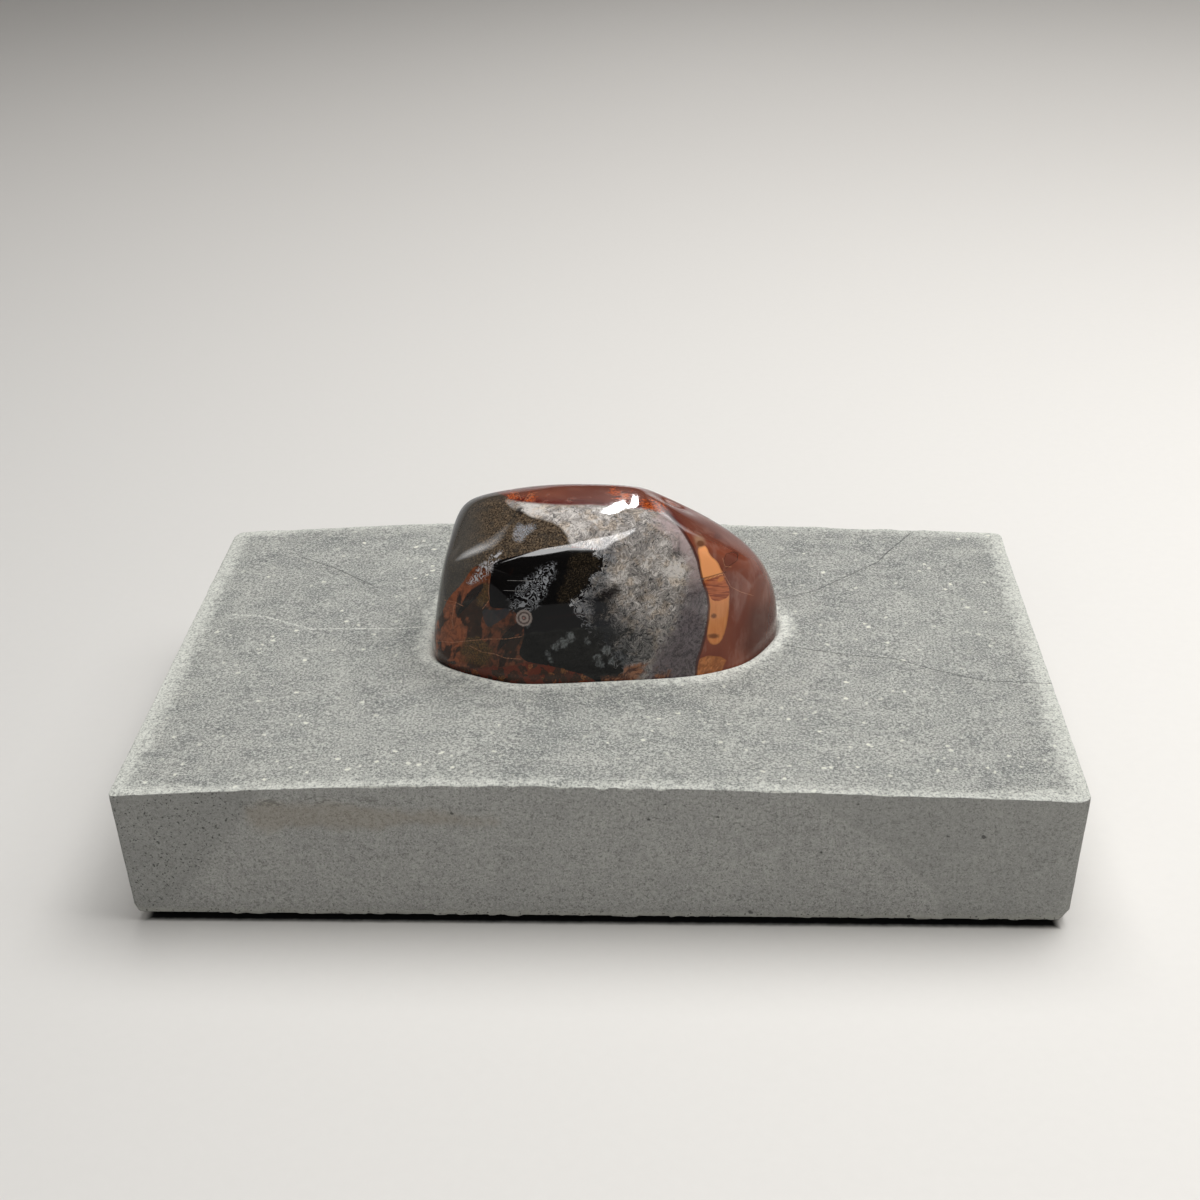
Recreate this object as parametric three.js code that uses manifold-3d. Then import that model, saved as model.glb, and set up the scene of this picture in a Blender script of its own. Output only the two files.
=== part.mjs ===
// A tumbled and polished Lake Superior agate, bedded in a small cast-stone slab.
// Millimetres, +Z up. The origin is the middle of the slab's underside. -Y is the front, where the
// agate's dark and white window shows.
import * as THREE from "three";
import { mergeVertices } from "three/addons/utils/BufferGeometryUtils.js";
import Module from "manifold-3d";

const wasm = await Module();
wasm.setup();

// The slab: a drafted block that stands on a foot set back under its rim
const SLAB_WIDTH = 150;
const SLAB_DEPTH = 97;
const CORNER_HEIGHT = 24.3;
const DRAFT_INSET = 1.2;
const RIM_HEIGHT = 1.6;
const FOOT_INSET = 3;
const CORNER_RADIUS = { frontLeft: 1.5, frontRight: 3, backLeft: 4.5, backRight: 2 };

// Its top is crowned along X, highest a little left of the middle
const CROWN_RISE = 2.4;
const CROWN_X = -18;
const CROWN_POWER = 1.5;

// The casting climbs a little where it meets the agate
const COLLAR_RISE = 0.5;
const COLLAR_REACH = 5;

// The agate's middle, and the gap between it and its bed
const AGATE_CENTRE = new THREE.Vector3(-1, 2.5, 32.6);
const BED_GAP = 0.35;

// Tumbling left the agate with worn flats. Each is a plane: the way it faces, as degrees turned from the
// front towards +X and degrees above the level, and its distance from the agate's middle.
const FLATS = [
  { name: "front window", turn: 8, rise: 4, distance: 17.8 },
  { name: "front upper", turn: 9, rise: 20, distance: 19.8 },
  { name: "front bevel", turn: -1, rise: 42, distance: 22.9 },
  { name: "front shoulder", turn: 1, rise: 60, distance: 22.9 },
  { name: "front left", turn: -26, rise: 7, distance: 23.8 },
  { name: "left flank", turn: -46, rise: 5, distance: 28.8 },
  { name: "left end", turn: -90, rise: 9, distance: 27.6 },
  { name: "left shoulder", turn: -93, rise: 36, distance: 28.9 },
  { name: "front left shoulder", turn: -60, rise: 60, distance: 25.4 },
  { name: "front right", turn: 30, rise: 12, distance: 20.6 },
  { name: "right flank", turn: 62, rise: 9, distance: 26.2 },
  { name: "right end", turn: 96, rise: -8, distance: 32.3 },
  { name: "lobe foot", turn: 98, rise: 20, distance: 29.8 },
  { name: "right lobe", turn: 103, rise: 38, distance: 26.5 },
  { name: "right slope", turn: 105, rise: 58, distance: 21 },
  { name: "top", turn: 160, rise: 80, distance: 19.3 },
  { name: "top left", turn: -150, rise: 66, distance: 22 },
  { name: "back slope", turn: 180, rise: 45, distance: 20.2 },
  { name: "back", turn: 180, rise: 5, distance: 20 },
  { name: "back right", turn: 138, rise: 5, distance: 26 },
  { name: "back right shoulder", turn: 140, rise: 45, distance: 22.5 },
  { name: "back left", turn: -135, rise: 5, distance: 28 },
  { name: "resting spot", turn: 0, rise: -90, distance: 11.5 },
  { name: "under front", turn: -20, rise: -45, distance: 20.9 },
  { name: "under left", turn: -57, rise: -45, distance: 25.5 },
  { name: "under right", turn: 80, rise: -40, distance: 30.6 },
  { name: "under back", turn: 180, rise: -50, distance: 18 },
];
// How tightly one flat turns into the next: higher is crisper
const EDGE_SHARPNESS = 22;

// The hollow behind the shoulder, where the top runs down to the right lobe
const SADDLE = { turn: 122, rise: 46, width: 10, depth: 1.2 };

// How finely the surfaces are cut into triangles. The slab's cells are smallest by the agate, where
// they are this share of the average cell.
const AGATE_DETAIL = 13;
const SLAB_CELLS_X = 32;
const SLAB_CELLS_Y = 22;
const SLAB_CELLS_Z = 4;
const RIM_SHARE = 0.25;
const MIDDLE_CELL_SHARE = 0.65;

// The direction that a flat or a hollow faces
function facing({ turn, rise }) {
  const t = THREE.MathUtils.degToRad(turn);
  const r = THREE.MathUtils.degToRad(rise);
  return new THREE.Vector3(Math.sin(t) * Math.cos(r), -Math.cos(t) * Math.cos(r), Math.sin(r));
}

const flatNormals = FLATS.map((flat) => facing(flat).divideScalar(flat.distance));
const saddleWay = facing(SADDLE);

// How far the agate reaches from its middle in one direction: the flats, blended where they meet, less
// the saddle
function agateReach(way) {
  let sum = 0;
  for (const normal of flatNormals) {
    sum += Math.max(0, way.dot(normal)) ** EDGE_SHARPNESS;
  }
  const angle = THREE.MathUtils.radToDeg(way.angleTo(saddleWay));
  const saddle = SADDLE.depth * Math.exp(-((angle / SADDLE.width) ** 2));
  return sum ** (-1 / EDGE_SHARPNESS) - saddle;
}

// The distance in plan from the agate's middle to its side, at one height
function agateSideAt(turn, height) {
  const drop = height - AGATE_CENTRE.z;
  let plan = 25;
  for (let step = 0; step < 4; step++) {
    const rise = THREE.MathUtils.radToDeg(Math.atan2(drop, plan));
    plan = Math.sqrt(agateReach(facing({ turn, rise })) ** 2 - drop ** 2);
  }
  return plan;
}

// The height of the slab's top before the bed is cut
function slabTop(x, y) {
  const half = x > CROWN_X ? SLAB_WIDTH / 2 - CROWN_X : SLAB_WIDTH / 2 + CROWN_X;
  const out = Math.min(1, Math.abs(x - CROWN_X) / half);
  const crowned = CORNER_HEIGHT + CROWN_RISE * (1 - out ** CROWN_POWER);
  const dx = x - AGATE_CENTRE.x;
  const dy = y - AGATE_CENTRE.y;
  const turn = THREE.MathUtils.radToDeg(Math.atan2(dx, -dy));
  const away = Math.max(0, Math.hypot(dx, dy) - agateSideAt(turn, crowned));
  return crowned + COLLAR_RISE * Math.exp(-((away / COLLAR_REACH) ** 2));
}

// A closed solid from a geometry whose triangles share their corners
function solidFrom(geometry) {
  geometry.deleteAttribute("normal");
  geometry.deleteAttribute("uv");
  const merged = mergeVertices(geometry, 1e-4);
  return new wasm.Manifold(
    new wasm.Mesh({
      numProp: 3,
      vertProperties: merged.attributes.position.array,
      triVerts: new Uint32Array(merged.index.array),
    }),
  );
}

function geometryFrom(solid) {
  const mesh = solid.getMesh();
  const geometry = new THREE.BufferGeometry();
  geometry.setAttribute("position", new THREE.BufferAttribute(mesh.vertProperties, mesh.numProp));
  geometry.setIndex(new THREE.BufferAttribute(mesh.triVerts, 1));
  geometry.computeVertexNormals();
  return geometry;
}

// The agate's surface, or that surface grown outwards for cutting the bed
function agateSurface(growth) {
  const geometry = new THREE.IcosahedronGeometry(1, AGATE_DETAIL);
  const position = geometry.attributes.position;
  const way = new THREE.Vector3();
  for (let i = 0; i < position.count; i++) {
    way.fromBufferAttribute(position, i).normalize();
    way.multiplyScalar(agateReach(way) + growth).add(AGATE_CENTRE);
    position.setXYZ(i, way.x, way.y, way.z);
  }
  return geometry;
}

// Where a grid line from -1 to 1 goes, so that the lines crowd together in the middle
function crowd(line) {
  return line * (MIDDLE_CELL_SHARE + (1 - MIDDLE_CELL_SHARE) * line * line);
}

function cornerRadius(x, y) {
  if (y < 0) return x < 0 ? CORNER_RADIUS.frontLeft : CORNER_RADIUS.frontRight;
  return x < 0 ? CORNER_RADIUS.backLeft : CORNER_RADIUS.backRight;
}

// Pulls the four upright corners of a plan point in to a round
function roundCorner(x, y, halfX, halfY) {
  const radius = cornerRadius(x, y);
  const overX = Math.abs(x) - (halfX - radius);
  const overY = Math.abs(y) - (halfY - radius);
  if (overX <= 0 || overY <= 0) return [x, y];
  const pull = Math.max(overX, overY) / Math.hypot(overX, overY);
  return [Math.sign(x) * (halfX - radius + overX * pull), Math.sign(y) * (halfY - radius + overY * pull)];
}

// The slab as a block whose grid is bent to the draft, the foot and the crowned top
function slabSurface() {
  const geometry = new THREE.BoxGeometry(2, 2, 1, SLAB_CELLS_X, SLAB_CELLS_Y, SLAB_CELLS_Z);
  const position = geometry.attributes.position;
  for (let i = 0; i < position.count; i++) {
    const level = position.getZ(i) + 0.5;
    const above = Math.max(0, (level - RIM_SHARE) / (1 - RIM_SHARE));
    const below = Math.max(0, 1 - level / RIM_SHARE);
    const inset = DRAFT_INSET * (1 - above) + FOOT_INSET * below;
    const halfX = SLAB_WIDTH / 2 - inset;
    const halfY = SLAB_DEPTH / 2 - inset;
    const x = crowd(position.getX(i)) * halfX;
    const y = crowd(position.getY(i)) * halfY;
    const plan = roundCorner(x, y, halfX, halfY);
    const rim = RIM_HEIGHT * (1 - below);
    position.setXYZ(i, ...plan, rim + (slabTop(...plan) - RIM_HEIGHT) * above);
  }
  return geometry;
}

function makeAgate() {
  const material = new THREE.MeshStandardMaterial({ color: 0x5e3328, roughness: 0.08, metalness: 0 });
  const agate = new THREE.Mesh(geometryFrom(solidFrom(agateSurface(0))), material);
  agate.name = "agate";
  return agate;
}

function makeSlab() {
  const material = new THREE.MeshStandardMaterial({ color: 0x8b8f8d, roughness: 0.85, metalness: 0 });
  const bed = solidFrom(agateSurface(BED_GAP));
  const slab = new THREE.Mesh(geometryFrom(solidFrom(slabSurface()).subtract(bed)), material);
  slab.name = "slab";
  return slab;
}

const specimen = new THREE.Group();
specimen.add(makeSlab(), makeAgate());

export default specimen;
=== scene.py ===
"""The looks of a polished Lake Superior agate bedded in a cast-stone slab.

Lengths here are millimetres until a mesh is made. -Y is the front.
"""

import bpy
import numpy as np
from mathutils import Matrix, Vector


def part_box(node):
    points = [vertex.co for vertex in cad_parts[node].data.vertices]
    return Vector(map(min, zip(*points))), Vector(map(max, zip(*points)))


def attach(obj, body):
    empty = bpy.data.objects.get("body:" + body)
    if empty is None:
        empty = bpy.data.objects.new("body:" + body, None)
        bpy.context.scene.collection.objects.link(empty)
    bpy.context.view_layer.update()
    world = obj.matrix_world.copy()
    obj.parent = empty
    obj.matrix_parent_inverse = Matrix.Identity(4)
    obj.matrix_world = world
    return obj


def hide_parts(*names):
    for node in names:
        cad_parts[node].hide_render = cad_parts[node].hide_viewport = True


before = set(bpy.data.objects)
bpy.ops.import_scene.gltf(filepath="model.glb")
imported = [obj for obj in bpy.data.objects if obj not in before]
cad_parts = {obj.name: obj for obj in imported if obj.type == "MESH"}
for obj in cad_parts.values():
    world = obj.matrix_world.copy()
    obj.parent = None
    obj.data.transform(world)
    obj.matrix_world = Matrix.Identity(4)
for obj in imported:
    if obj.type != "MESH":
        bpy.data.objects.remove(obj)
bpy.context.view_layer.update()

METRE = 0.001

# The camera, in the photograph's own frame
PHOTO_SIDE = 1200
FOCAL_PX = 1948.1
CAMERA_AT = np.array([12.9, -299.1, 183.7])
CAMERA_PITCH, CAMERA_YAW, CAMERA_ROLL = 26.6, -2.65, -1.07
SENSOR_WIDTH = 36.0

# One millimetre at the agate, in the photograph's pixels
PX_PER_MM = 5.745

# The agate's worn flats: degrees turned from the front towards +X, degrees above the level, and the
# distance from its middle
AGATE_CENTRE = np.array([-1.0, 2.5, 32.6])
FLATS = [
    (8, 4, 17.8),
    (9, 20, 19.8),
    (-1, 42, 22.9),
    (1, 60, 22.9),
    (-26, 7, 23.8),
    (-46, 5, 28.8),
    (-90, 9, 27.6),
    (-93, 36, 28.9),
    (-60, 60, 25.4),
    (30, 12, 20.6),
    (62, 9, 26.2),
    (96, -8, 32.3),
    (98, 20, 29.8),
    (103, 38, 26.5),
    (105, 58, 21.0),
    (160, 80, 19.3),
    (-150, 66, 22.0),
    (180, 45, 20.2),
    (180, 5, 20.0),
    (138, 5, 26.0),
    (140, 45, 22.5),
    (-135, 5, 28.0),
    (0, -90, 11.5),
    (-20, -45, 20.9),
    (-57, -45, 25.5),
    (80, -40, 30.6),
    (180, -50, 18.0),
]
EDGE_SHARPNESS = 22
SADDLE_TURN, SADDLE_RISE, SADDLE_WIDTH, SADDLE_DEPTH = 122, 46, 10, 1.2
AGATE_CELLS = 112

# The slab
BED_GAP = 0.35
CORNER_HEIGHT = 24.3
DRAFT_INSET = 1.2
RIM_HEIGHT = 1.6
FOOT_INSET = 3.0
CORNER_RADII = {(-1, -1): 1.0, (1, -1): 2.2, (-1, 1): 2.2, (1, 1): 1.6}
CROWN_RISE, CROWN_X, CROWN_POWER = 2.4, -18.0, 1.5
COLLAR_RISE, COLLAR_REACH = 0.5, 5.0
FRONT_STEP, OTHER_STEP = 0.42, 0.95
TOP_ROWS, SIDE_ROWS, BED_ROWS = 78, 30, 7

# Wear: the lip at the agate, the edge's rounding and reach, and the break of the lower rim
LIP_DROP, LIP_REACH = 0.35, 0.35
EDGE_ROUNDING, WEAR_REACH = 0.13, 0.9
RIM_BREAK = 0.3
# The top's relief: how much, the size of its lumps, the seed, and how far from the agate it is full
TOP_RELIEF = [(0.13, 9, 1, 4), (0.05, 2.3, 2, 2)]
# The front edge's broken places: x, width and depth
FRONT_NOTCHES = [
    (-19, 3.0, 0.5), (-13, 1.0, 0.45), (-5, 2.2, 0.45), (1, 0.9, 0.7), (5, 1.2, 0.6), (10, 0.9, 0.45),
    (-34, 1.5, 0.3), (-27, 1.2, 0.35), (27, 3, 0.25), (46, 4, 0.2),
]

# Lines on the top, in plan
TOP_CRACKS = [
    [(-59.7, 35.2), (-51.7, 29.1), (-44.0, 21.6)],
    [(30.6, 15.7), (37.5, 20.2), (43.8, 26.9), (50.0, 33.3), (52.0, 37.4), (57.3, 46.5)],
    [(30.7, -2.0), (41.5, -4.2), (48.8, -4.8), (55.8, -8.6), (63.4, -11.9), (74.6, -11.7)],
]
TOP_RIDGES = [[(-69.2, 12.2), (-61.8, 10.3), (-52.3, 4.7), (-31.1, 3.2)]]

# Marks on the front face: x and height, and a radius for the pits
FRONT_PITS = [
    (10.6, 23.2, 0.3), (18.6, 21.1, 0.3), (21.5, 22.8, 0.35), (22.3, 19.2, 0.3), (8.1, 20.4, 0.3),
    (39.7, 23.5, 0.3), (53.7, 17.6, 0.35), (59.1, 17.7, 0.4), (68.5, 10.3, 0.3), (24.0, 2.8, 0.45),
    (-22, 21.5, 0.4), (44, 13.5, 0.25), (34.5, 14.5, 0.25), (63, 15.6, 0.3),
]
PITTED_LEFT = [(-76, 30), (-48, 30), (-52.6, 22.7), (-60.1, 13), (-66, 4), (-76, 0)]
SHADED_RIGHT = [
    (30, 30), (34, 22), (39, 19.2), (43, 16.2), (48.6, 10.9), (51.9, 7.1), (54, 0), (80, 0), (80, 30),
]
FLAKED = [
    (-54, 23.2), (-49, 24.8), (-38, 24.6), (-31, 23.8), (-30, 22.6), (-40, 23.2), (-47, 22.8), (-54, 21.6),
]
STAIN = [
    (-55, 22.5), (-50, 24), (-40, 23), (-30, 22.5), (-16, 21), (-14, 19), (-30, 18.5), (-45, 17.5),
    (-54, 18),
]

# The stage's floor. The painted shadow on the floor in the gap under the slab's rim ends this far in from
# the slab's sides and from its front
FLOOR_RADIUS, COVE_RADIUS, WALL_HEIGHT = 1150, 300, 520
SHADOW_SIDE_INSET, SHADOW_FRONT_INSET = 3.0, 1.8

# The middle of the polish that reflects, and how far from it the reflected windows and the sky stand
GLOSS_CENTRE = AGATE_CENTRE + [0, 0, 10]
WINDOW_DISTANCE, SKY_DISTANCE = 900, 1100


def facing(turn, rise):
    """The direction that is so many degrees round from the front and above the level."""
    t, r = np.radians(turn), np.radians(rise)
    return np.stack([np.sin(t) * np.cos(r), -np.cos(t) * np.cos(r), np.sin(r)], axis=-1)


def smooth(value, low, high):
    """0 at `low`, 1 at `high`, and an even curve between them."""
    t = np.clip((value - low) / (high - low), 0, 1)
    return t * t * (3 - 2 * t)


def lattice(cells, seed):
    """A repeatable number from 0 to 1 for each whole-numbered cell."""
    mixed = np.sin(cells @ np.array([127.1, 311.7, 74.7]) + seed * 19.19) * 43758.5453
    return mixed - np.floor(mixed)


def value_noise(points, size, seed):
    """Smooth noise from -1 to 1 whose lumps are about `size` across."""
    scaled = points / size
    cell = np.floor(scaled)
    part = scaled - cell
    part = part * part * (3 - 2 * part)
    total = np.zeros(len(points))
    for corner in np.ndindex(2, 2, 2):
        step = np.array(corner)
        weight = np.prod(np.where(step, part, 1 - part), axis=1)
        total += weight * lattice(cell + step, seed)
    return total * 2 - 1


def camera_axes():
    """The camera's right, up and ahead."""
    yaw, pitch, roll = np.radians([CAMERA_YAW, CAMERA_PITCH, CAMERA_ROLL])
    ahead = np.array([np.sin(yaw) * np.cos(pitch), np.cos(yaw) * np.cos(pitch), -np.sin(pitch)])
    level = np.array([np.cos(yaw), -np.sin(yaw), 0.0])
    over = np.cross(level, ahead)
    right = level * np.cos(roll) + over * np.sin(roll)
    up = over * np.cos(roll) - level * np.sin(roll)
    return right, up, ahead


def photo_place(points):
    """Where points fall in the photograph, in its pixels."""
    right, up, ahead = camera_axes()
    away = points - CAMERA_AT
    depth = away @ ahead
    middle = PHOTO_SIDE / 2
    return np.stack([middle + FOCAL_PX * (away @ right) / depth,
                     middle - FOCAL_PX * (away @ up) / depth], axis=-1)


def soften(outline, rounds=2):
    """Cuts the corners of an outline."""
    ring = np.array(outline, float)
    for _ in range(rounds):
        after = np.roll(ring, -1, axis=0)
        ring = np.stack([ring * 0.75 + after * 0.25, ring * 0.25 + after * 0.75], axis=1).reshape(-1, 2)
    return ring


def depth_inside(ring, at):
    """The distance from each place to an outline, positive inside it."""
    nearest = np.full(len(at), np.inf)
    inside = np.zeros(len(at), bool)
    for a, b in zip(ring, np.roll(ring, -1, axis=0)):
        along = b - a
        t = np.clip(((at - a) @ along) / (along @ along), 0, 1)
        gap = at - a - t[:, None] * along
        nearest = np.minimum(nearest, (gap ** 2).sum(axis=1))
        crosses = (a[1] > at[:, 1]) != (b[1] > at[:, 1])
        if crosses.any():
            x = a[0] + (at[:, 1] - a[1]) * (b[0] - a[0]) / (b[1] - a[1])
            inside ^= crosses & (at[:, 0] < x)
    return np.where(inside, 1, -1) * np.sqrt(nearest)


def beside_lines(lines, at):
    """The distance from each place to the nearest of several lines, and the same with a side to it."""
    nearest = np.full(len(at), np.inf)
    signed = np.zeros(len(at))
    for line in lines:
        path = np.array(line, float)
        for a, b in zip(path[:-1], path[1:]):
            along = b - a
            t = np.clip(((at - a) @ along) / (along @ along), 0, 1)
            gap = np.linalg.norm(at - a - t[:, None] * along, axis=1)
            side = (at - a) @ np.array([-along[1], along[0]]) / np.linalg.norm(along)
            closer = gap < nearest
            nearest = np.where(closer, gap, nearest)
            signed = np.where(closer, side, signed)
    return nearest, signed


def make_mesh(name, points, faces):
    mesh = bpy.data.meshes.new(name)
    mesh.from_pydata((points * METRE).tolist(), [], faces)
    mesh.update()
    mesh.polygons.foreach_set("use_smooth", np.ones(len(mesh.polygons), bool))
    piece = bpy.data.objects.new(name, mesh)
    bpy.context.scene.collection.objects.link(piece)
    return piece


def mark(piece, name, values):
    """Stores one number, or one vector, per vertex for the materials to read."""
    if values.ndim == 1:
        layer = piece.data.attributes.new(name, "FLOAT", "POINT")
        layer.data.foreach_set("value", values.astype(np.float32))
    else:
        layer = piece.data.attributes.new(name, "FLOAT_VECTOR", "POINT")
        layer.data.foreach_set("vector", values.astype(np.float32).ravel())


FLAT_NORMALS = np.array([facing(turn, rise) / distance for turn, rise, distance in FLATS])


def agate_reach(ways):
    """How far the agate reaches from its middle in each direction."""
    total = (np.maximum(0, ways @ FLAT_NORMALS.T) ** EDGE_SHARPNESS).sum(axis=1)
    angle = np.degrees(np.arccos(np.clip(ways @ facing(SADDLE_TURN, SADDLE_RISE), -1, 1)))
    return total ** (-1 / EDGE_SHARPNESS) - SADDLE_DEPTH * np.exp(-((angle / SADDLE_WIDTH) ** 2))


def cube_sphere(cells):
    """Directions and quads of a ball made from a cube's six gridded faces."""
    line = np.tan(np.linspace(-np.pi / 4, np.pi / 4, cells + 1))
    a, b = np.meshgrid(line, line, indexing="ij")
    index = np.arange((cells + 1) ** 2).reshape(cells + 1, cells + 1)
    quad = np.stack([index[:-1, :-1], index[1:, :-1], index[1:, 1:], index[:-1, 1:]], axis=-1).reshape(-1, 4)
    points, quads = [], []
    for axis in range(3):
        for sign in (-1, 1):
            face = np.zeros((len(line) ** 2, 3))
            face[:, axis] = sign
            face[:, (axis + 1) % 3] = a.ravel()
            face[:, (axis + 2) % 3] = b.ravel()
            quads.append((quad if sign > 0 else quad[:, ::-1]) + len(points) * len(face))
            points.append(face)
    points = np.concatenate(points)
    _, first, back = np.unique(np.round(points, 6), axis=0, return_index=True, return_inverse=True)
    ways = points[first] / np.linalg.norm(points[first], axis=1, keepdims=True)
    return ways, back.ravel()[np.concatenate(quads)]


# The agate's zones, as outlines in the photograph's pixels. The corners of the soft ones are cut twice,
# those of the crisp ones once.
SOFT_ZONES = {
    "quartz": [
        [(503, 498), (525, 502.5), (546, 504), (565, 505), (588, 504.5), (602, 505), (625, 507),
         (645, 508), (660, 509), (669, 515), (677, 524), (685, 535), (693, 549), (698, 562), (702, 579),
         (707, 593), (709, 606), (708, 620), (705, 636), (701, 650), (697.5, 661), (695, 690), (690, 740),
         (655, 740), (636, 700), (625, 674), (612, 655), (600, 640), (588, 626), (580, 613), (576, 603),
         (585, 594), (588, 583), (597, 570), (603, 560), (598, 553), (590, 549), (573, 547), (568, 542),
         (568, 537), (564, 531), (554.5, 523), (544, 520), (532, 517.5), (522, 511.5), (514, 510),
         (509, 506)],
    ],
    "lavender": [
        [(664, 514), (684, 532), (702, 568), (711, 606), (705, 642), (698, 676), (690, 720), (650, 720),
         (646, 672), (655, 655), (667, 640), (676, 622), (683, 602), (689, 588), (690, 572), (684, 556),
         (674, 538), (655, 520)],
    ],
    "olive": [
        [(400, 470), (470, 486), (489, 492), (499, 493), (509, 498), (515, 504), (521, 508), (527, 509),
         (536, 514), (547, 516), (559, 520), (570, 529), (574, 538), (574, 545), (566, 552), (530, 557),
         (504, 562), (493, 565), (487, 580), (478, 574), (466, 588), (455, 597), (447, 603), (443, 612),
         (438, 622), (420, 640), (380, 640)],
    ],
    "black": [
        [(492, 562), (504, 559), (530, 552), (546, 549), (575, 547), (598, 550), (624, 556), (640, 580),
         (640, 610), (640, 640), (640, 668), (628, 684), (606, 690), (590, 677), (574, 672), (560, 668.5),
         (546, 665), (531, 663), (525, 661), (518.5, 654), (521, 646), (524, 637), (524, 628), (523, 620),
         (511, 608), (495, 609), (488, 605), (490, 582)],
    ],
    "golden": [
        [(573, 552), (597, 552), (602, 560), (592, 572), (585, 583), (573, 600), (556, 604), (562, 585),
         (569, 568)],
    ],
    "threads": [
        [(553, 561), (557, 570), (552, 580), (546, 592), (540, 603), (533, 612), (522, 612), (507, 608),
         (512, 598), (520, 589), (527, 580), (536, 572), (545, 566)],
    ],
    "left_lace": [
        [(500, 550.5), (503, 553), (494, 566), (488, 578), (480, 580), (471, 586), (466, 582), (475, 574),
         (481, 564), (490, 557)],
    ],
    "sparkle": [
        [(515, 528), (519, 523), (525, 527), (529, 524), (536, 526), (533, 531), (526, 535), (522, 542),
         (515, 541), (513, 535)],
    ],
    "rust": [
        [(477, 565), (470, 571), (462, 584), (452, 594), (446, 602), (443, 611), (437, 621), (425, 640),
         (430, 662), (450, 676), (470, 676), (488, 668), (505, 667), (528, 664), (530, 650), (534, 638),
         (534, 626), (524, 614), (506, 604), (499, 602), (497, 592), (498, 576), (490, 570), (482, 566)],
    ],
    "moss": [
        [(481, 583), (489, 580), (490, 600), (483, 606), (476, 603), (480, 592)],
        [(462, 640), (474, 636), (486, 640), (494, 652), (486, 666), (468, 664), (459, 652)],
    ],
    "breccia": [
        [(440, 662), (456, 665), (470, 668), (490, 667), (507, 667), (520, 662), (531, 663), (546, 665),
         (560, 669), (574, 672), (592, 678), (604, 690), (560, 720), (450, 700)],
    ],
    "flames": [
        [(600, 680), (611, 677), (622, 675), (630, 667), (640, 664), (645, 668), (648, 672), (640, 680),
         (620, 690)],
        [(652, 677), (658, 671), (668, 672), (672, 676), (662, 684)],
    ],
    "blob": [
        [(694, 536), (699, 535), (704, 538), (705, 545), (700, 548), (696, 545)],
    ],
    "leaf": [
        [(725.9, 566), (724, 560.4), (726.6, 554.3), (733.9, 552.3), (738, 553.7), (736.6, 560.4),
         (728.6, 566)],
        [(712.5, 537), (716, 532), (719, 532), (722, 538), (716, 539)],
    ],
    "crackle": [
        [(606, 490), (614, 488), (622, 492), (634, 494), (630, 500), (618, 498)],
        [(636, 503), (644, 500), (655, 498.5), (662, 502), (665.6, 507), (660, 511.5), (648, 509)],
        [(505, 497), (511, 491), (517, 492), (521, 498), (514, 501)],
        [(526, 500), (532, 492), (536, 492), (531, 501)],
    ],
    "gap": [
        [(600, 597), (606, 588), (613, 585), (619, 587), (618, 593), (610, 598), (603, 600)],
        [(514, 511), (517, 505), (522, 504), (521, 509), (523, 513)],
    ],
}

CRISP_ZONES = {
    "wedge": [
        [(453.4, 625), (457, 613), (463, 601), (468, 592), (483, 582), (484, 588), (474, 600), (465, 609),
         (457, 617)],
        [(495.4, 655), (499, 642), (505, 632), (514, 624), (524, 620), (524, 631), (512, 637), (503, 646)],
    ],
    "slate": [
        [(481.5, 608), (495, 611), (511, 606), (508, 616), (498, 622), (489, 628), (484, 622)],
    ],
    "band": [
        [(700.4, 545.6), (706.5, 545.6), (709.8, 555), (717.9, 561.7), (721.2, 569.7), (724, 574),
         (717.9, 575.4), (707, 578.4), (701, 579), (699.8, 568.4), (699.8, 560.4), (697, 549.6)],
        [(701.8, 580), (712, 578), (724, 573.7), (725.9, 583), (729.2, 587), (729.6, 600), (728, 620),
         (723.2, 638), (717.9, 644.7), (711, 644.7), (706.5, 638), (707.5, 620), (709, 604.5),
         (708.5, 594), (704.5, 587)],
        [(701, 654.8), (727.9, 657.4), (722.5, 668.8), (718, 690), (694, 690), (696.4, 670.2)],
    ],
    "tile": [
        [(701.8, 581), (712, 578.5), (724, 573.7), (725.9, 583), (729.2, 587), (729.5, 596.5),
         (720.5, 601), (712.5, 601), (708.5, 594), (704.5, 588)],
    ],
    "tile_window": [
        [(717, 579), (723, 575), (724.5, 580.4), (718.5, 582.8)],
    ],
}

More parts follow.
